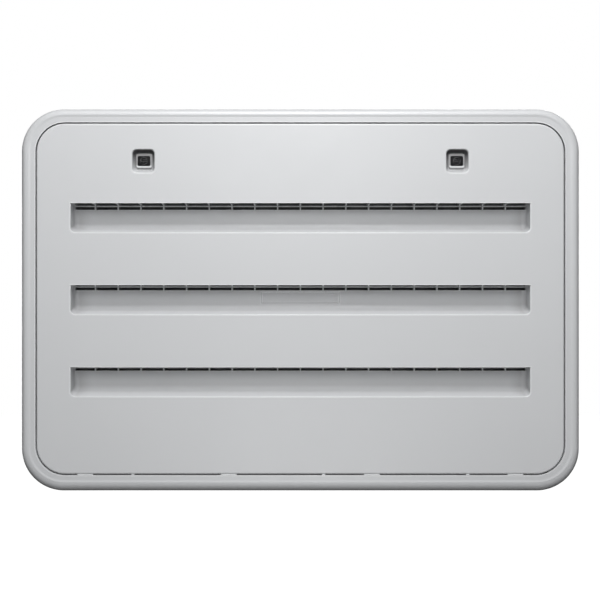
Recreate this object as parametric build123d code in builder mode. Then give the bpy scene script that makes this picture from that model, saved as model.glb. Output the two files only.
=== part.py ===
from build123d import *
import math
import os

# Louvred vent cover: a wall frame, a removable louvred door and two quarter-turn latches.
# Millimetres. +Z is up, the front faces -Y and the back of the frame lies on the wall, Y = 0.
# The origin is the centre of the opening in the wall, which is also the centre of the door.
# The model is at rest with the door shut and both latches unlocked.

os.makedirs("parts", exist_ok=True)

# Depths are given as the distance in front of the wall plane.
SKIN = 2.2  # wall thickness of both mouldings
BAND_DEPTH = 14.0  # the door face and the flat band round it
FRAME_DEPTH = 14.35  # the crest of the raised bead

# Frame
FRAME_W = 610.0
FRAME_H = 417.6
FRAME_R = 46.0
FRAME_DROP = 1.3  # the lower border is deeper, so the frame's centre is below the door's
BAND_W = 590.1
BAND_H = 397.7
BAND_R = 37.4
BAND_LIFT = 0.35
RAMP_W = 2.2  # the gentle step from the band up to the crest
CREST_W = 596.0  # where the bead starts to roll over to the wall
CREST_H = 400.6
CREST_CORNER_R = 41.0
CREST_LIFT = 0.5
ROLL_DEPTH = 8.0
ROLL_STEPS = 6
HOLLOW_R = 7.0
FLANGE_T = 2.5
WEB_T = 1.8
WEB_X = (-157.0, 0.0, 157.0)
WEB_Z = (-100.0, 0.0, 100.0)

# Sleeve that enters the opening in the wall
SLEEVE_W = 544.6
SLEEVE_H = 344.6
SLEEVE_R = 8.0
SLEEVE_DEPTH = 22.0

# Screws through the flange
SCREW_HOLE_R = 2.4
SCREW_ROW_X = (-240.0, -120.0, 0.0, 120.0, 240.0)
SCREW_ROW_Z = 182.5
SCREW_SIDE_X = 279.0
SCREW_SIDE_Z = (-110.0, 0.0, 110.0)

# Door
GAP = 1.15  # door edge to frame, all round
DOOR_W = 575.1
DOOR_H = 382.2
DOOR_R = 31.0
FACE_T = 2.5
SKIRT_BACK = 3.0  # how far the skirt stays in front of the wall plane
EDGE_R = 2.0
LIP_R = 1.0  # rounding of the pockets' lower and side edges and of the wells
RIB_T = 1.8
RIB_X = (-215.0, -125.0, 0.0, 125.0, 215.0)
RIB_Z = (-140.0, -44.0, 46.0, 125.0)
RIB_H = 7.0
CROSS_RIB_H = 4.0

# Louvre pockets, in one column
SLOT_W = 500.7
SLOT_H = 32.0
SLOT_PITCH = 89.4
SLOT_COUNT = 3
SLOT_MID_Z = -1.05
SLOT_DEPTH = 22.0
FLOOR_TILT = 13.1  # degrees up towards the back
BACK_R = 6.75
SIDE_R = 5.0
MOUTH_H = 5.5  # air mouth above each pocket's back wall
TRAP_STEP = 8.0  # the baffle stands this far behind the back wall
BAFFLE_RISE = 6.0  # and this far above the pocket
FIN_COUNT = 19
FIN_PITCH = 25.27
FIN_T = 1.3
FIN_PROUD = 2.5  # in front of the back wall
BAR_H = 1.2
BAR_D = 2.0
BAR_DROP = 1.8

# Blank recess with bevelled edges in the back wall of the middle pocket
RECESS_W = 88.0
RECESS_TOP = 8.3
RECESS_LOW = -6.4
RECESS_DEPTH = 1.2
BEVEL_LOW = 2.8
BEVEL = 1.2

# Tongues and rubbing nubs along the door's lower edge
TONGUE_X = (-234.4, -78.1, 78.1, 234.4)
TONGUE_W = 17.0
TONGUE_T = 2.5
TONGUE_L = 7.0
TONGUE_BACK = 8.7
WINDOW_W = 20.0
WINDOW_BACK = 4.3
WINDOW_FRONT = 11.8
NUB_X = (-182.6, 25.3, 182.6)
NUB_W = 3.3
NUB_D = 5.0
NUB_FRONT = 13.2
NUB_CLEAR = 0.3  # between a nub or a tongue's shoulder and the frame

# Latch wells in the door face
LATCH_X = 171.1
LATCH_Z = 150.8
WELL_Z = 150.2
WELL_W = 25.0
WELL_H = 26.0
WELL_R = 5.0
WELL_DRAFT = 3.4  # the walls lean in by this much down to the floor
WELL_DEPTH = 7.0
WELL_FLOOR_R = 3.5
COLLAR_W = 17.5
COLLAR_H = 15.6
COLLAR_R = 2.5
COLLAR_RISE = 2.0
COLLAR_EDGE_R = 0.9

# Keeper lips that the cams turn behind
KEEPER_W = 40.0
KEEPER_LOW = 161.4

# Latch parts
BEZEL_W = 13.9
BEZEL_H = 11.0
BEZEL_R = 1.6
BEZEL_PROUD = 0.3  # above the collar
BUSH_R = 5.0
BUSH_BACK = 1.6
SNAP_R = 5.5
SNAP_L = 1.2
HEAD_R = 4.2
HEAD_PROUD = 0.8
HEAD_T = 2.0
HEAD_EDGE_R = 0.5
HEAD_CLEAR = 0.3
SHAFT_R = 3.0
BORE_R = 3.05
COIN_W = 6.4
COIN_T = 1.6
COIN_DEPTH = 1.2
SQUARE = 4.0
SEAT_CLEAR = 0.1
SQUARE_START = 0.9
WASHER_T = 0.7
WASHER_IN_R = 3.1
WASHER_OUT_R = 4.9
WASHER_SLIT = 0.8
WASHER_FRONT = 1.5
CAM_T = 3.0
CAM_GAP = 0.3  # cam face to the back of the keeper
CAM_HUB_R = 4.4
CAM_HUB_FRONT = 0.7
CAM_ROOT_R = 6.0
CAM_TIP_R = 4.0
CAM_REACH = 17.0
SCREW_R = 1.2
PILOT_R = 1.25
SCREW_L = 7.0
SCREW_HEAD_R = 3.9
SCREW_HEAD_T = 1.8
CROSS_W = 0.9
CROSS_L = 3.8
CROSS_DEPTH = 1.0

# Worked out from the dimensions above
APERTURE_W = DOOR_W + 2 * GAP
APERTURE_H = DOOR_H + 2 * GAP
APERTURE_R = DOOR_R + GAP
FLOOR_TAN = math.tan(math.radians(FLOOR_TILT))
SLOT_TOP = SLOT_H / 2
SLOT_LOW = -SLOT_H / 2
SLOT_Z = [SLOT_MID_Z + SLOT_PITCH * (n - (SLOT_COUNT - 1) / 2) for n in range(SLOT_COUNT)]
SLOT_FRONT_Y = -BAND_DEPTH
SLOT_BACK_Y = SLOT_DEPTH - BAND_DEPTH
BAFFLE_Y = SLOT_BACK_Y + TRAP_STEP
FACE_BACK_Y = FACE_T - BAND_DEPTH
WELL_FLOOR_W = WELL_W - 2 * WELL_DRAFT
WELL_FLOOR_H = WELL_H - 2 * WELL_DRAFT
COLLAR_FRONT = BAND_DEPTH - WELL_DEPTH + COLLAR_RISE
BEZEL_FRONT = COLLAR_FRONT + BEZEL_PROUD
BEZEL_BACK = BAND_DEPTH - WELL_DEPTH
HEAD_FRONT = BEZEL_FRONT + HEAD_PROUD
HEAD_BACK = HEAD_FRONT - HEAD_T
CAM_BACK = -CAM_GAP - CAM_T
NUB_L = GAP - NUB_CLEAR
OVERCUT = 2.0  # how far a cut runs past the surface it opens


def at_depth(depth):
    """Plane parallel to the wall, `depth` in front of it, that looks out of the front."""
    return Plane.XZ.offset(depth)


def slot_places():
    """The centres of the louvre pockets on the door's centre plane."""
    return [(0, 0, z) for z in SLOT_Z]


def save(piece, name):
    """Label a finished piece and write its STEP file."""
    piece.part.label = name
    export_step(piece.part, f"parts/{name}.step")


# Space behind the rim, with the webs left standing
with BuildPart() as rim_hollow:
    with BuildSketch(at_depth(0)):
        with Locations((0, -FRAME_DROP)):
            RectangleRounded(FRAME_W - 2 * SKIN, FRAME_H - 2 * SKIN, FRAME_R - SKIN)
    extrude(amount=BAND_DEPTH - SKIN)
    fillet(rim_hollow.faces().sort_by(Axis.Y)[0].edges(), HOLLOW_R)
    with BuildSketch(at_depth(0)):
        RectangleRounded(APERTURE_W + 2 * SKIN, APERTURE_H + 2 * SKIN, APERTURE_R + SKIN)
    extrude(amount=FRAME_DEPTH, mode=Mode.SUBTRACT)
    with BuildSketch(at_depth(0)):
        with Locations(*[(x, 0) for x in WEB_X]):
            Rectangle(WEB_T, FRAME_H + FRAME_R)
        with Locations(*[(0, z) for z in WEB_Z]):
            Rectangle(FRAME_W, WEB_T)
    extrude(amount=FRAME_DEPTH, mode=Mode.SUBTRACT)

# Space over the band: it widens by RAMP_W from the band up to the crest
with BuildPart() as band_space:
    with BuildSketch(at_depth(BAND_DEPTH)):
        with Locations((0, BAND_LIFT)):
            RectangleRounded(BAND_W - RAMP_W, BAND_H - RAMP_W, BAND_R - RAMP_W / 2)
    with BuildSketch(at_depth(FRAME_DEPTH)):
        with Locations((0, BAND_LIFT)):
            RectangleRounded(BAND_W + RAMP_W, BAND_H + RAMP_W, BAND_R + RAMP_W / 2)
    loft()

with BuildPart() as wall_frame:
    # Bead: elliptical roll from the crest's outline out to the rim's outline
    for step in range(ROLL_STEPS + 1):
        turn = math.radians(90) * step / ROLL_STEPS
        out = math.sin(turn)
        with BuildSketch(at_depth(FRAME_DEPTH - ROLL_DEPTH * (1 - math.cos(turn)))):
            with Locations((0, CREST_LIFT - out * (CREST_LIFT + FRAME_DROP))):
                RectangleRounded(
                    CREST_W + out * (FRAME_W - CREST_W),
                    CREST_H + out * (FRAME_H - CREST_H),
                    CREST_CORNER_R + out * (FRAME_R - CREST_CORNER_R),
                )
    loft()
    with BuildSketch(at_depth(0)):
        with Locations((0, -FRAME_DROP)):
            RectangleRounded(FRAME_W, FRAME_H, FRAME_R)
    extrude(amount=FRAME_DEPTH - ROLL_DEPTH)
    add(band_space.part, mode=Mode.SUBTRACT)
    # Recess for the door, down to the flange
    with BuildSketch(at_depth(FLANGE_T)):
        RectangleRounded(APERTURE_W, APERTURE_H, APERTURE_R)
    extrude(amount=FRAME_DEPTH, mode=Mode.SUBTRACT)
    add(rim_hollow.part, mode=Mode.SUBTRACT)
    # Sleeve, then the opening through sleeve and flange
    with BuildSketch(at_depth(-SLEEVE_DEPTH)):
        RectangleRounded(SLEEVE_W, SLEEVE_H, SLEEVE_R)
    extrude(amount=SLEEVE_DEPTH)
    with BuildSketch(at_depth(-SLEEVE_DEPTH)):
        RectangleRounded(SLEEVE_W - 2 * SKIN, SLEEVE_H - 2 * SKIN, SLEEVE_R - SKIN)
    extrude(amount=SLEEVE_DEPTH + FLANGE_T, mode=Mode.SUBTRACT)
    # Keeper lips in the top of the opening
    with BuildSketch(at_depth(0)):
        with Locations((-LATCH_X, KEEPER_LOW), (LATCH_X, KEEPER_LOW)):
            Rectangle(KEEPER_W, SLEEVE_H / 2 - KEEPER_LOW, align=(Align.CENTER, Align.MIN))
    extrude(amount=FLANGE_T)
    # Windows in the lower inner wall for the door's tongues
    with BuildSketch(at_depth(WINDOW_BACK)):
        with Locations(*[(x, -APERTURE_H / 2 - SKIN / 2) for x in TONGUE_X]):
            Rectangle(WINDOW_W, SKIN + OVERCUT)
    extrude(amount=WINDOW_FRONT - WINDOW_BACK, mode=Mode.SUBTRACT)
    # Screw holes
    with BuildSketch(at_depth(0)):
        with Locations(*[(x, z) for x in SCREW_ROW_X for z in (-SCREW_ROW_Z, SCREW_ROW_Z)]):
            Circle(SCREW_HOLE_R)
        with Locations(*[(x, z) for x in (-SCREW_SIDE_X, SCREW_SIDE_X) for z in SCREW_SIDE_Z]):
            Circle(SCREW_HOLE_R)
    extrude(amount=FLANGE_T, mode=Mode.SUBTRACT)

save(wall_frame, "wall_frame")


# Material round one pocket: sloped floor, back wall, step and baffle, about the pocket's centre
def floor_z(y, drop=0.0):
    """Height of the pocket's sloped floor at depth y, less `drop`."""
    return SLOT_LOW + (y - SLOT_FRONT_Y) * FLOOR_TAN - drop


FLOOR_DROP = SKIN / math.cos(math.radians(FLOOR_TILT))
BLOCK_FRONT_Y = FACE_BACK_Y - FACE_T / 2
BLOCK_BACK_Y = SLOT_BACK_Y + SKIN
STEP_Z = SLOT_TOP - MOUTH_H

with BuildPart() as pocket_block:
    with BuildSketch(Plane.YZ):
        with BuildLine():
            Polyline(
                (BLOCK_FRONT_Y, floor_z(BLOCK_FRONT_Y, FLOOR_DROP)),
                (BLOCK_BACK_Y, floor_z(BLOCK_BACK_Y, FLOOR_DROP)),
                (BLOCK_BACK_Y, STEP_Z - SKIN),
                (BAFFLE_Y + SKIN, STEP_Z - SKIN),
                (BAFFLE_Y + SKIN, SLOT_TOP + BAFFLE_RISE),
                (BLOCK_FRONT_Y, SLOT_TOP + BAFFLE_RISE),
                close=True,
            )
        make_face()
    extrude(amount=SLOT_W / 2 + SKIN, both=True)
    back_edges = pocket_block.edges().filter_by(Axis.X).sort_by(Axis.Z)[:2].sort_by(Axis.Y)
    fillet(back_edges[-1], BACK_R + SKIN)

# Space inside one pocket, open at the front
with BuildPart() as pocket_space:
    with BuildSketch(Plane.YZ):
        with BuildLine():
            Polyline(
                (SLOT_FRONT_Y - OVERCUT, floor_z(SLOT_FRONT_Y - OVERCUT)),
                (SLOT_BACK_Y, floor_z(SLOT_BACK_Y)),
                (SLOT_BACK_Y, SLOT_TOP),
                (SLOT_FRONT_Y - OVERCUT, SLOT_TOP),
                close=True,
            )
        make_face()
    extrude(amount=SLOT_W / 2, both=True)
    fillet(pocket_space.edges().filter_by(Axis.X).group_by(Axis.Y)[-1].sort_by(Axis.Z)[0], BACK_R)
    for end in pocket_space.faces().filter_by(Axis.X):
        low_edges = end.edges().sort_by(Axis.Y)[1:].sort_by(Axis.Z)[:-1]
        fillet(low_edges, SIDE_R)

# Air path over the back wall, open upwards behind the door face
with BuildPart() as air_path:
    with BuildSketch(Plane.YZ):
        with BuildLine():
            Polyline(
                (SLOT_BACK_Y - FIN_PROUD, STEP_Z),
                (BAFFLE_Y, STEP_Z),
                (BAFFLE_Y, SLOT_TOP + BAFFLE_RISE + OVERCUT),
                (FACE_BACK_Y, SLOT_TOP + BAFFLE_RISE + OVERCUT),
                (FACE_BACK_Y, SLOT_TOP),
                (SLOT_BACK_Y - FIN_PROUD, SLOT_TOP),
                close=True,
            )
        make_face()
    extrude(amount=SLOT_W / 2, both=True)

# Blank recess, narrowing from the back wall's face to its own floor
with BuildPart() as label_recess:
    with BuildSketch(at_depth(-SLOT_BACK_Y)):
        with Locations((0, RECESS_LOW)):
            Rectangle(RECESS_W, RECESS_TOP - RECESS_LOW, align=(Align.CENTER, Align.MIN))
    with BuildSketch(at_depth(-SLOT_BACK_Y - RECESS_DEPTH)):
        with Locations((0, RECESS_LOW + BEVEL_LOW)):
            Rectangle(
                RECESS_W - 2 * BEVEL,
                RECESS_TOP - RECESS_LOW - BEVEL_LOW - BEVEL,
                align=(Align.CENTER, Align.MIN),
            )
    loft()

# Space in one latch well, and the material round it, about the well's centre
with BuildPart() as well_space:
    with BuildSketch(at_depth(BAND_DEPTH)):
        RectangleRounded(WELL_W, WELL_H, WELL_R)
    with BuildSketch(at_depth(BAND_DEPTH - WELL_DEPTH)):
        RectangleRounded(WELL_FLOOR_W, WELL_FLOOR_H, WELL_FLOOR_R)
    loft()

with BuildPart() as well_block:
    with BuildSketch(at_depth(BAND_DEPTH - FACE_T / 2)):
        RectangleRounded(WELL_W + 2 * SKIN, WELL_H + 2 * SKIN, WELL_R + SKIN)
    with BuildSketch(at_depth(BAND_DEPTH - WELL_DEPTH - SKIN)):
        RectangleRounded(WELL_FLOOR_W + 2 * SKIN, WELL_FLOOR_H + 2 * SKIN, WELL_FLOOR_R + SKIN)
    loft()

# Raised collar on the floor of one well, about the latch's axis
with BuildPart() as collar:
    with BuildSketch(at_depth(BEZEL_BACK - SKIN / 2)):
        RectangleRounded(COLLAR_W, COLLAR_H, COLLAR_R)
    extrude(amount=COLLAR_RISE + SKIN / 2)
    fillet(collar.faces().sort_by(Axis.Y)[0].edges(), COLLAR_EDGE_R)

with BuildPart() as door_panel:
    # Shallow tray: face and skirt
    with BuildSketch(at_depth(SKIRT_BACK)):
        RectangleRounded(DOOR_W, DOOR_H, DOOR_R)
    extrude(amount=BAND_DEPTH - SKIRT_BACK)
    fillet(door_panel.faces().sort_by(Axis.Y)[0].edges(), EDGE_R)
    with BuildSketch(at_depth(SKIRT_BACK)):
        RectangleRounded(DOOR_W - 2 * SKIN, DOOR_H - 2 * SKIN, DOOR_R - SKIN)
    extrude(amount=BAND_DEPTH - FACE_T - SKIRT_BACK, mode=Mode.SUBTRACT)
    # Stiffening ribs behind the face
    with BuildSketch(at_depth(BAND_DEPTH - FACE_T - RIB_H)):
        with Locations(*[(x, 0) for x in RIB_X]):
            Rectangle(RIB_T, DOOR_H - 2 * SKIN)
    extrude(amount=RIB_H)
    with BuildSketch(at_depth(BAND_DEPTH - FACE_T - CROSS_RIB_H)):
        with Locations(*[(0, z) for z in RIB_Z]):
            Rectangle(DOOR_W - 2 * SKIN, RIB_T)
    extrude(amount=CROSS_RIB_H)
    # Pockets
    with Locations(*slot_places()):
        add(pocket_block.part)
    with Locations(*slot_places()):
        add(pocket_space.part, mode=Mode.SUBTRACT)
    with Locations(*slot_places()):
        add(air_path.part, mode=Mode.SUBTRACT)
    # Fins across the air mouths, and the bar that ties their fronts together
    with BuildSketch(at_depth(-BAFFLE_Y - SKIN / 2)):
        with Locations((0, SLOT_MID_Z + SLOT_TOP + BAFFLE_RISE / 2)):
            with GridLocations(FIN_PITCH, SLOT_PITCH, FIN_COUNT, SLOT_COUNT):
                Rectangle(FIN_T, BAFFLE_RISE)
    extrude(amount=BAFFLE_Y + SKIN / 2 - FACE_BACK_Y + FACE_T / 2)
    with BuildSketch(at_depth(-BAFFLE_Y - SKIN / 2)):
        with Locations((0, SLOT_MID_Z + SLOT_TOP - MOUTH_H / 2)):
            with GridLocations(FIN_PITCH, SLOT_PITCH, FIN_COUNT, SLOT_COUNT):
                Rectangle(FIN_T, MOUTH_H)
    extrude(amount=TRAP_STEP + SKIN / 2 + FIN_PROUD)
    with BuildSketch(at_depth(FIN_PROUD - SLOT_BACK_Y - BAR_D)):
        with Locations(*[(0, z + SLOT_TOP - BAR_DROP) for z in SLOT_Z]):
            Rectangle(SLOT_W + SKIN, BAR_H)
    extrude(amount=BAR_D)
    add(label_recess.part, mode=Mode.SUBTRACT)
    # Latch wells, each with a raised collar that a bezel drops into
    with Locations((-LATCH_X, 0, WELL_Z), (LATCH_X, 0, WELL_Z)):
        add(well_block.part)
        add(well_space.part, mode=Mode.SUBTRACT)
    with Locations((-LATCH_X, 0, LATCH_Z), (LATCH_X, 0, LATCH_Z)):
        add(collar.part)
    with BuildSketch(at_depth(BEZEL_BACK)):
        with Locations((-LATCH_X, LATCH_Z), (LATCH_X, LATCH_Z)):
            RectangleRounded(BEZEL_W + SEAT_CLEAR, BEZEL_H + SEAT_CLEAR, BEZEL_R)
    extrude(amount=COLLAR_RISE, mode=Mode.SUBTRACT)
    with BuildSketch(at_depth(0)):
        with Locations((-LATCH_X, LATCH_Z), (LATCH_X, LATCH_Z)):
            Circle(BUSH_R + SEAT_CLEAR / 2)
    extrude(amount=BEZEL_FRONT, mode=Mode.SUBTRACT)
    # Tongues that hook behind the lower band
    with BuildSketch(at_depth(TONGUE_BACK)):
        with Locations(*[(x, -DOOR_H / 2 + SKIN / 2) for x in TONGUE_X]):
            Rectangle(TONGUE_W, TONGUE_L + SKIN / 2, align=(Align.CENTER, Align.MAX))
    extrude(amount=TONGUE_T)
    # Shoulders over the tongues and nubs between them, which keep the lower edge off the frame
    with BuildSketch(at_depth(NUB_FRONT - NUB_D)):
        with Locations(*[(x, -DOOR_H / 2 + SKIN / 2) for x in TONGUE_X]):
            Rectangle(TONGUE_W, NUB_L + SKIN / 2, align=(Align.CENTER, Align.MAX))
        with Locations(*[(x, -DOOR_H / 2 + SKIN / 2) for x in NUB_X]):
            Rectangle(NUB_W, NUB_L + SKIN / 2, align=(Align.CENTER, Align.MAX))
    extrude(amount=NUB_D)
    # Rounded mouths of the pockets, except along their upper edges, and of the wells
    face_edges = door_panel.edges().filter_by_position(Axis.Y, -BAND_DEPTH, -BAND_DEPTH)
    mouths = []
    for z in SLOT_Z:
        ring = face_edges.filter_by_position(Axis.Z, z - SLOT_H, z + SLOT_TOP - LIP_R)
        mouths += ring.filter_by_position(Axis.X, -SLOT_W, SLOT_W)
    for x in (-LATCH_X, LATCH_X):
        ring = face_edges.filter_by_position(Axis.Z, WELL_Z - WELL_H, WELL_Z + WELL_H)
        mouths += ring.filter_by_position(Axis.X, x - WELL_W, x + WELL_W)
    fillet(mouths, LIP_R)

save(door_panel, "door_panel")


def build_latch(side, x, inboard):
    """One quarter-turn latch at x; its unlocked cam points `inboard` (+1 or -1 along X)."""
    with BuildPart() as latch_housing:
        with BuildSketch(at_depth(BEZEL_BACK)):
            with Locations((x, LATCH_Z)):
                RectangleRounded(BEZEL_W, BEZEL_H, BEZEL_R)
        extrude(amount=BEZEL_FRONT - BEZEL_BACK)
        fillet(latch_housing.faces().sort_by(Axis.Y)[0].edges(), BEZEL_PROUD / 2)
        with BuildSketch(at_depth(BUSH_BACK)):
            with Locations((x, LATCH_Z)):
                Circle(BUSH_R)
        extrude(amount=BEZEL_BACK - BUSH_BACK)
        # Snap ring behind the well floor
        with BuildSketch(at_depth(BEZEL_BACK - SKIN - SNAP_L - SEAT_CLEAR)):
            with Locations((x, LATCH_Z)):
                Circle(SNAP_R)
        extrude(amount=SNAP_L)
        with BuildSketch(at_depth(HEAD_BACK - HEAD_CLEAR / 2)):
            with Locations((x, LATCH_Z)):
                Circle(HEAD_R + HEAD_CLEAR)
        extrude(amount=HEAD_FRONT - HEAD_BACK, mode=Mode.SUBTRACT)
        with BuildSketch(at_depth(0)):
            with Locations((x, LATCH_Z)):
                Circle(BORE_R)
        extrude(amount=HEAD_FRONT, mode=Mode.SUBTRACT)
    save(latch_housing, f"latch_housing_{side}")

    with BuildPart() as latch_knob:
        with BuildSketch(at_depth(HEAD_BACK)):
            with Locations((x, LATCH_Z)):
                Circle(HEAD_R)
        extrude(amount=HEAD_T)
        fillet(latch_knob.faces().sort_by(Axis.Y)[0].edges(), HEAD_EDGE_R)
        with BuildSketch(at_depth(HEAD_FRONT - COIN_DEPTH)):
            with Locations((x, LATCH_Z)):
                SlotOverall(COIN_W, COIN_T)
        extrude(amount=COIN_DEPTH, mode=Mode.SUBTRACT)
        with BuildSketch(at_depth(SQUARE_START)):
            with Locations((x, LATCH_Z)):
                Circle(SHAFT_R)
        extrude(amount=HEAD_BACK - SQUARE_START)
        with BuildSketch(at_depth(CAM_BACK)):
            with Locations((x, LATCH_Z)):
                Rectangle(SQUARE, SQUARE)
        extrude(amount=SQUARE_START - CAM_BACK)
        with BuildSketch(at_depth(CAM_BACK)):
            with Locations((x, LATCH_Z)):
                Circle(PILOT_R)
        extrude(amount=SCREW_L, mode=Mode.SUBTRACT)
    save(latch_knob, f"latch_knob_{side}")

    with BuildPart() as latch_washer:
        with BuildSketch(at_depth(WASHER_FRONT - WASHER_T)):
            with Locations((x, LATCH_Z)):
                Circle(WASHER_OUT_R)
                Circle(WASHER_IN_R, mode=Mode.SUBTRACT)
            with Locations((x, LATCH_Z + WASHER_OUT_R)):
                Rectangle(WASHER_SLIT, WASHER_OUT_R, mode=Mode.SUBTRACT)
        extrude(amount=WASHER_T)
    save(latch_washer, f"latch_washer_{side}")

    with BuildPart() as latch_cam:
        with BuildSketch(at_depth(CAM_BACK)):
            with Locations((x, LATCH_Z)):
                Circle(CAM_ROOT_R)
            with Locations((x + inboard * (CAM_REACH - CAM_TIP_R), LATCH_Z)):
                Circle(CAM_TIP_R)
            make_hull()
        extrude(amount=CAM_T)
        with BuildSketch(at_depth(-CAM_GAP)):
            with Locations((x, LATCH_Z)):
                Circle(CAM_HUB_R)
        extrude(amount=CAM_GAP + CAM_HUB_FRONT)
        with BuildSketch(at_depth(CAM_BACK)):
            with Locations((x, LATCH_Z)):
                Rectangle(SQUARE + SEAT_CLEAR, SQUARE + SEAT_CLEAR)
        extrude(amount=CAM_HUB_FRONT - CAM_BACK, mode=Mode.SUBTRACT)
    save(latch_cam, f"latch_cam_{side}")

    with BuildPart() as latch_screw:
        with BuildSketch(at_depth(CAM_BACK)):
            with Locations((x, LATCH_Z)):
                Circle(SCREW_R)
        extrude(amount=SCREW_L - OVERCUT)
        with BuildSketch(at_depth(CAM_BACK - SCREW_HEAD_T)):
            with Locations((x, LATCH_Z)):
                Circle(SCREW_HEAD_R)
        extrude(amount=SCREW_HEAD_T)
        head_edge = latch_screw.faces().sort_by(Axis.Y)[-1].edges()
        fillet(head_edge, SCREW_HEAD_T / 2)
        with BuildSketch(at_depth(CAM_BACK - SCREW_HEAD_T)):
            with Locations((x, LATCH_Z)):
                Rectangle(CROSS_W, CROSS_L)
                Rectangle(CROSS_L, CROSS_W)
        extrude(amount=CROSS_DEPTH, mode=Mode.SUBTRACT)
    save(latch_screw, f"latch_screw_{side}")


build_latch("left", -LATCH_X, 1)
build_latch("right", LATCH_X, -1)
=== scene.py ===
import math

import bpy
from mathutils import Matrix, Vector


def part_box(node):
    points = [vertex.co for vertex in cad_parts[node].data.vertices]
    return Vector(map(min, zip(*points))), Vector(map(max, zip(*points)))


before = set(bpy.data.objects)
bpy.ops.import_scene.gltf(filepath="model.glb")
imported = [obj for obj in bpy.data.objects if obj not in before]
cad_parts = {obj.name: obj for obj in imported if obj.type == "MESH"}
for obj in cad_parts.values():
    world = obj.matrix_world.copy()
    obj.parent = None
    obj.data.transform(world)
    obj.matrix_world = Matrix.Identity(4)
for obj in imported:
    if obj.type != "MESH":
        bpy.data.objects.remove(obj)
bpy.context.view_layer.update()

# Louvred vent cover: materials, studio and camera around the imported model.
# Metres, in the model's own frame: the front faces -Y, +Z is up and the wall plane is Y = 0.

# ---------------------------------------------------------------- places the materials depend on
FACE_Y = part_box("door_panel")[0].y
KNOBS = ("latch_knob_left", "latch_knob_right")
WELLS = [(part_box(knob)[0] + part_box(knob)[1]) / 2 for knob in KNOBS]
PASSAGE_Y = 0.0084  # behind the pockets' back walls
BAFFLE_Y = 0.014  # just in front of the baffles
PASSAGE_FADE = 0.0004

# A latch well and the collar in it, where painted shade goes: half sizes, and depths behind the door's
# face
WELL_REACH = 0.0136
WELL_FADE = 0.0008
WELL_DEPTH = (0.0006, 0.0022)  # painted shade starts, and is full
WELL_HEIGHT = (-0.008, 0.0075)  # the same, over the latch's middle
COLLAR_SIDE = 0.00875
COLLAR_TOP = 0.0078
COLLAR_INSET = 0.0002
COLLAR_FADE = 0.0006
COLLAR_DEPTH = (0.0022, 0.003)
COLLAR_FOOT = (0.002, 0.0035)  # over its lower edge: the lower bar ends, and the sides start

# Cosine of the bevelled normal's turn where the lighter edge band starts, and where it is full; the
# band is partly scuffing and partly painted highlight
EDGE_TURN = (0.99, 0.86)

# Openness where each effect starts, and where it is full; the effects are painted shade in recesses and
# passages, and lighter edges that are partly scuffing and partly painted highlight
OCCLUSION_REACH = 0.02
PAINTED_SHADE_OPENNESS = (0.95, 0.25)
PASSAGE_OPENNESS = (0.75, 0.4)
PASSAGE_SHADE = 0.21  # of the painted shade colour, for a deeper painted shade in the passages
HIGHLIGHT_WEAR_OPENNESS = (0.35, 0.6)


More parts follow.
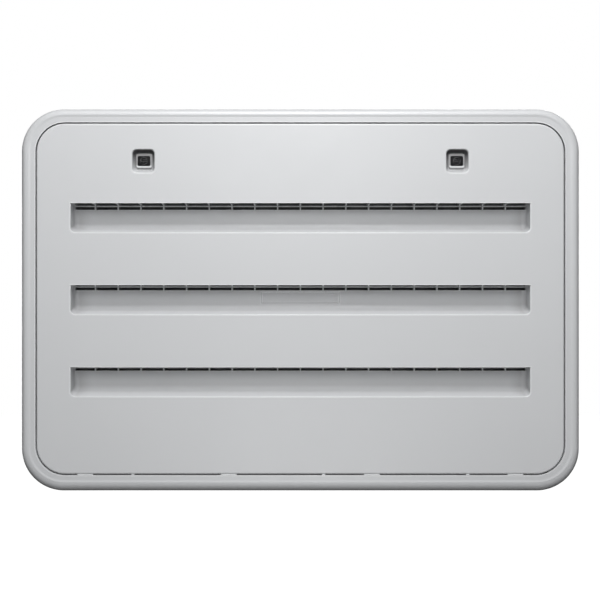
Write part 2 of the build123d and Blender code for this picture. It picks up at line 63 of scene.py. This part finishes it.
# ---------------------------------------------------------------- node helpers
class Tree:
    """A material's node tree with short calls for the nodes used here."""

    def __init__(self, name):
        self.material = bpy.data.materials.new(name)
        self.material.use_nodes = True
        self.nodes = self.material.node_tree.nodes
        self.links = self.material.node_tree.links
        self.shader = self.nodes["Principled BSDF"]
        self.place = self.nodes.new("ShaderNodeTexCoord").outputs["Object"]

    def link(self, source, target):
        self.links.new(source, target)

    def noise(self, scale, detail=3.0, roughness=0.5, stretch=(1, 1, 1)):
        """Noise over the object's own coordinates; returns its value output."""
        mapping = self.nodes.new("ShaderNodeMapping")
        mapping.inputs["Scale"].default_value = stretch
        self.link(self.place, mapping.inputs["Vector"])
        node = self.nodes.new("ShaderNodeTexNoise")
        node.inputs["Scale"].default_value = scale
        node.inputs["Detail"].default_value = detail
        node.inputs["Roughness"].default_value = roughness
        self.link(mapping.outputs["Vector"], node.inputs["Vector"])
        return node.outputs["Fac"]

    def spread(self, value, low, high, to_low=0.0, to_high=1.0):
        """Map value from low..high to to_low..to_high, clamped."""
        node = self.nodes.new("ShaderNodeMapRange")
        node.inputs["From Min"].default_value = low
        node.inputs["From Max"].default_value = high
        node.inputs["To Min"].default_value = to_low
        node.inputs["To Max"].default_value = to_high
        self.link(value, node.inputs["Value"])
        return node.outputs["Result"]

    def mix(self, factor, first, second):
        """Mix two colours; each is a socket or an RGB triple."""
        node = self.nodes.new("ShaderNodeMix")
        node.data_type = "RGBA"
        self.feed(factor, node.inputs["Factor"])
        self.feed(first, node.inputs["A"])
        self.feed(second, node.inputs["B"])
        return node.outputs["Result"]

    def feed(self, source, target):
        """Link a socket, or set a constant."""
        if isinstance(source, bpy.types.NodeSocket):
            self.link(source, target)
        elif isinstance(source, (int, float)):
            target.default_value = source
        else:
            target.default_value = (*source, 1.0)

    def edge(self, radius):
        """0 on flat faces, rising towards 1 along edges of about radius."""
        bevel = self.nodes.new("ShaderNodeBevel")
        bevel.samples = 4
        bevel.inputs["Radius"].default_value = radius
        geometry = self.nodes.new("ShaderNodeNewGeometry")
        dot = self.nodes.new("ShaderNodeVectorMath")
        dot.operation = "DOT_PRODUCT"
        self.link(bevel.outputs["Normal"], dot.inputs[0])
        self.link(geometry.outputs["Normal"], dot.inputs[1])
        return self.spread(dot.outputs["Value"], *EDGE_TURN)

    def openness(self, reach):
        """1 in the open, falling towards 0 in corners and pockets narrower than reach."""
        node = self.nodes.new("ShaderNodeAmbientOcclusion")
        node.samples = 8
        node.only_local = True
        node.inputs["Distance"].default_value = reach
        return node.outputs["AO"]

    def combine(self, operation, first, second=0.0):
        """One step of arithmetic on two values, each a socket or a number."""
        node = self.nodes.new("ShaderNodeMath")
        node.operation = operation
        self.feed(first, node.inputs[0])
        self.feed(second, node.inputs[1])
        return node.outputs["Value"]

    def product(self, first, *others):
        """Multiply values together."""
        for other in others:
            first = self.combine("MULTIPLY", first, other)
        return first

    def axis(self, letter):
        """One of the object's own coordinates, X, Y or Z."""
        axes = self.nodes.new("ShaderNodeSeparateXYZ")
        self.link(self.place, axes.inputs["Vector"])
        return axes.outputs[letter]

    def offset(self, letter, origin):
        """How far past origin a point is along one axis."""
        return self.combine("SUBTRACT", self.axis(letter), origin)

    def distance(self, letter, origin):
        """How far from origin a point is along one axis, either way."""
        return self.combine("ABSOLUTE", self.offset(letter, origin))

    def behind(self, depth):
        """1 further back than depth, 0 in front of it."""
        return self.spread(self.axis("Y"), depth, depth + PASSAGE_FADE)

    def baffle_front(self):
        """1 on the front of the baffles behind the pockets, 0 elsewhere; painted shade goes there."""
        geometry = self.nodes.new("ShaderNodeNewGeometry")
        normal = self.nodes.new("ShaderNodeSeparateXYZ")
        self.link(geometry.outputs["True Normal"], normal.inputs["Vector"])
        forward = self.spread(normal.outputs["Y"], -0.5, -0.9)
        return self.product(forward, self.behind(BAFFLE_Y))

    def well_painted_shade(self, pivot):
        """Painted shade on the upper walls of the latch well round pivot: 1 there, fading to 0 at its
        foot and its mouth.
        """
        reach_x = self.distance("X", pivot.x)
        reach_z = self.distance("Z", pivot.z)
        reach = self.combine("MAXIMUM", reach_x, reach_z)
        inside = self.spread(reach, WELL_REACH, WELL_REACH - WELL_FADE)
        squared_z = self.combine("ADD", reach_z, COLLAR_SIDE - COLLAR_TOP)
        off_collar = self.combine("MAXIMUM", reach_x, squared_z)
        side = COLLAR_SIDE - COLLAR_INSET
        walls = self.spread(off_collar, side, side + COLLAR_FADE)
        sunk = self.spread(self.offset("Y", FACE_Y), *WELL_DEPTH)
        height = self.spread(self.offset("Z", pivot.z), *WELL_HEIGHT)
        return self.product(inside, walls, sunk, height)

    def well_collar_shade(self, pivot):
        """1 on the top and the sides of the collar in the latch well round pivot, 0 elsewhere; painted
        shade goes there.
        """
        beside = self.spread(self.distance("X", pivot.x), COLLAR_SIDE + COLLAR_FADE, COLLAR_SIDE)
        over = self.spread(self.offset("Z", pivot.z - COLLAR_TOP), *COLLAR_FOOT)
        under = self.spread(self.offset("Z", pivot.z), COLLAR_TOP + COLLAR_FADE, COLLAR_TOP)
        sunk = self.spread(self.offset("Y", FACE_Y), *COLLAR_DEPTH)
        return self.product(beside, under, over, sunk)

    def bump(self, height, distance, strength=1.0, under=None):
        """Bump from a height, on top of another bump if one is given; returns the normal."""
        node = self.nodes.new("ShaderNodeBump")
        node.inputs["Distance"].default_value = distance
        node.inputs["Strength"].default_value = strength
        self.link(height, node.inputs["Height"])
        if under is not None:
            self.link(under, node.inputs["Normal"])
        return node.outputs["Normal"]


def shade(colour, amount):
    """A colour scaled by amount."""
    return [amount * c for c in colour]


def moulded_plastic(name, colour, highlight_wear_colour, painted_shade, roughness, grain, specular, edge_width, wells=()):
    """Injection-moulded plastic with fine grain and soft flow marks.

    Edges of about the given width are lightened, partly scuffing and partly painted highlight;
    recesses, the passages behind the pockets and, in the latch wells, the upper walls and the collar
    are darkened with painted shade.
    """
    t = Tree(name)
    flow = t.noise(6.0, 4.0, 0.55)
    speck = t.noise(900.0, 2.0, 0.6)
    patches = t.noise(40.0, 5.0, 0.6)
    openness = t.openness(OCCLUSION_REACH)

    skin = t.mix(t.spread(flow, 0.3, 0.7), shade(colour, 0.985), colour)
    # Painted shade: corners and recesses darken towards the shade colour with their ambient occlusion.
    skin = t.mix(t.spread(openness, *PAINTED_SHADE_OPENNESS), skin, painted_shade)
    # Painted shade: the passages behind the pockets and the fronts of the baffles are darkened to a
    # deep shade.
    passage = t.product(t.spread(openness, *PASSAGE_OPENNESS), t.behind(PASSAGE_Y))
    passage = t.combine("MAXIMUM", passage, t.baffle_front())
    skin = t.mix(passage, skin, shade(painted_shade, PASSAGE_SHADE))
    # Painted shade on the upper walls of each latch well, darkest at the top.
    for pivot in wells:
        skin = t.mix(t.well_painted_shade(pivot), skin, DARK_WELL_SHADE)
    # Lighter edges in the open, partly scuffing and partly painted highlight.
    highlight_wear_mask = t.product(t.edge(edge_width), t.spread(openness, *HIGHLIGHT_WEAR_OPENNESS))
    skin = t.mix(highlight_wear_mask, skin, highlight_wear_colour)
    # Painted shade on the top and sides of the collar in each latch well, over the lighter edges.
    for pivot in wells:
        skin = t.mix(t.well_collar_shade(pivot), skin, WHITE_PAINTED_SHADE)
    t.link(skin, t.shader.inputs["Base Color"])

    rough = t.spread(patches, 0.3, 0.7, roughness - 0.04, roughness + 0.05)
    t.link(rough, t.shader.inputs["Roughness"])
    ripple = t.bump(flow, 0.0008, 0.12)
    t.link(t.bump(speck, grain, 0.35, ripple), t.shader.inputs["Normal"])
    t.shader.inputs["Specular IOR Level"].default_value = specular
    return t.material


def plated_steel(name, colour, roughness):
    """Zinc-plated steel with a fine directional grain."""
    t = Tree(name)
    t.shader.inputs["Metallic"].default_value = 1.0
    streaks = t.noise(1500.0, 3.0, 0.6, (1.0, 1.0, 0.15))
    tint = t.mix(t.spread(streaks, 0.35, 0.65), colour, shade(colour, 0.8))
    t.link(tint, t.shader.inputs["Base Color"])
    rough = t.spread(streaks, 0.3, 0.7, roughness - 0.08, roughness + 0.1)
    t.link(rough, t.shader.inputs["Roughness"])
    t.link(t.bump(streaks, 0.00004, 0.4), t.shader.inputs["Normal"])
    return t.material


WHITE = (0.62, 0.63, 0.642)
FRAME_WHITE = (0.6, 0.61, 0.622)
# Edge colour, partly scuffing and partly painted highlight.
WHITE_HIGHLIGHT_WEAR = (0.84, 0.85, 0.86)
# Painted shade colour for recesses, passages and the latch collars.
WHITE_PAINTED_SHADE = (0.31, 0.31, 0.316)
# Painted shade colour for the latch wells' upper walls.
DARK_WELL_SHADE = (0.07, 0.07, 0.073)
BLACK = (0.008, 0.008, 0.009)
CAM_BLACK = (0.02, 0.02, 0.021)
# Edge colour for the black parts, partly scuffing and partly painted highlight.
BLACK_HIGHLIGHT_WEAR = (0.05, 0.05, 0.052)
# Knob edge colour, partly scuffing and partly painted glints.
KNOB_GLINT_WEAR = (0.2, 0.2, 0.205)
# Painted shade colour for recesses in the black parts.
BLACK_PAINTED_SHADE = (0.006, 0.006, 0.006)

# Widths of the lighter edge bands, partly scuffing and partly painted highlight, and heights of the
# moulding's grain
BROAD_EDGE = 0.0024
KNOB_EDGE = 0.001
FINE_EDGE = 0.0006
SMOOTH = 0.00002
SATIN = 0.00003
COARSE = 0.00004

MATERIALS = {
    "wall_frame": moulded_plastic(
        "frame_plastic", FRAME_WHITE, WHITE_HIGHLIGHT_WEAR, WHITE_PAINTED_SHADE, 0.36, SATIN, 0.5, BROAD_EDGE
    ),
    "door_panel": moulded_plastic(
        "door_plastic", WHITE, WHITE_HIGHLIGHT_WEAR, WHITE_PAINTED_SHADE, 0.38, SATIN, 0.5, BROAD_EDGE, WELLS
    ),
    "latch_housing": moulded_plastic(
        "latch_plastic", BLACK, BLACK_HIGHLIGHT_WEAR, BLACK_PAINTED_SHADE, 0.24, SMOOTH, 0.3, FINE_EDGE
    ),
    "latch_knob": moulded_plastic(
        "knob_plastic", BLACK, KNOB_GLINT_WEAR, BLACK_PAINTED_SHADE, 0.2, SMOOTH, 0.4, KNOB_EDGE
    ),
    "latch_cam": moulded_plastic(
        "cam_plastic", CAM_BLACK, BLACK_HIGHLIGHT_WEAR, BLACK_PAINTED_SHADE, 0.5, COARSE, 0.5, FINE_EDGE
    ),
    "latch_washer": plated_steel("washer_steel", (0.62, 0.62, 0.6), 0.3),
    "latch_screw": plated_steel("screw_steel", (0.66, 0.65, 0.62), 0.28),
}

for node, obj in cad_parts.items():
    kind = node.removesuffix("_left").removesuffix("_right")
    obj.data.materials.clear()
    obj.data.materials.append(MATERIALS[kind])

# ---------------------------------------------------------------- studio
low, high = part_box("wall_frame")
FRONT_Y = low.y
MIDDLE_Z = (low.z + high.z) / 2
CENTRE = Vector((0, FRONT_Y, MIDDLE_Z))
LIGHT_DISTANCE = 1.6
NEAR = 0.95


def studio_light(name, azimuth, elevation, size, watts, distance=LIGHT_DISTANCE):
    """A soft rectangular light aimed at the cover; azimuth 0 is in front, 90 right, 180 behind."""
    a, e = math.radians(azimuth), math.radians(elevation)
    away = Vector((math.sin(a) * math.cos(e), -math.cos(a) * math.cos(e), math.sin(e)))
    data = bpy.data.lights.new(name, "AREA")
    data.shape = "RECTANGLE"
    data.size, data.size_y = size
    data.energy = watts
    light = bpy.data.objects.new(name, data)
    light.location = CENTRE + away * distance
    light.rotation_mode = "QUATERNION"
    light.rotation_quaternion = away.to_track_quat("Z", "Y")
    bpy.context.collection.objects.link(light)


studio_light("key", 0, 55, (0.4, 0.6), 18.4)
studio_light("upper_soft", 0, 40, (1.2, 0.8), 7.8)
studio_light("front", 0, 20, (0.4, 0.6), 5.9)
studio_light("low_fill", 0, -25, (0.3, 0.3), 1.35, NEAR)
studio_light("rear_right", 155, 15, (0.8, 0.8), 10.0)
studio_light("rear_left", -155, -5, (0.8, 0.8), 8.0)

SPAN = 4.0
FLOOR_Z = low.z - 0.4
corners = [(x * SPAN, y * SPAN, FLOOR_Z) for x, y in ((-1, -1), (1, -1), (1, 1), (-1, 1))]
floor_mesh = bpy.data.meshes.new("floor")
floor_mesh.from_pydata(corners, [], [(0, 1, 2, 3)])
floor = bpy.data.objects.new("floor", floor_mesh)
bpy.context.collection.objects.link(floor)
floor_look = Tree("floor_paper")
floor_look.shader.inputs["Base Color"].default_value = (0.9, 0.9, 0.9, 1)
floor_look.shader.inputs["Roughness"].default_value = 0.9
floor_look.shader.inputs["Emission Color"].default_value = (1, 1, 1, 1)
floor_look.shader.inputs["Emission Strength"].default_value = 1.0
floor_mesh.materials.append(floor_look.material)
floor.visible_diffuse = False
floor.visible_glossy = False

# The room is white to the camera and dark to everything else
world = bpy.data.worlds.new("studio")
bpy.context.scene.world = world
world.use_nodes = True
nodes, links = world.node_tree.nodes, world.node_tree.links
nodes.clear()
seen = nodes.new("ShaderNodeBackground")
seen.inputs["Color"].default_value = (1, 1, 1, 1)
seen.inputs["Strength"].default_value = 1.0
room = nodes.new("ShaderNodeBackground")
room.inputs["Strength"].default_value = 0.0
path = nodes.new("ShaderNodeLightPath")
pick = nodes.new("ShaderNodeMixShader")
links.new(path.outputs["Is Camera Ray"], pick.inputs["Fac"])
links.new(room.outputs["Background"], pick.inputs[1])
links.new(seen.outputs["Background"], pick.inputs[2])
out = nodes.new("ShaderNodeOutputWorld")
links.new(pick.outputs["Shader"], out.inputs["Surface"])

# ---------------------------------------------------------------- camera
CAMERA_DISTANCE = 1.05  # to the face of the door
CAMERA_X = -0.0004
LENS = 57.87
camera_data = bpy.data.cameras.new("camera")
camera_data.sensor_width = 36.0
camera_data.lens = LENS
camera = bpy.data.objects.new("camera", camera_data)
camera.location = (CAMERA_X, FRONT_Y - CAMERA_DISTANCE, MIDDLE_Z)
camera.rotation_euler = (math.radians(90), 0, 0)
bpy.context.collection.objects.link(camera)
bpy.context.scene.camera = camera

bpy.context.scene.view_settings.view_transform = "Standard"
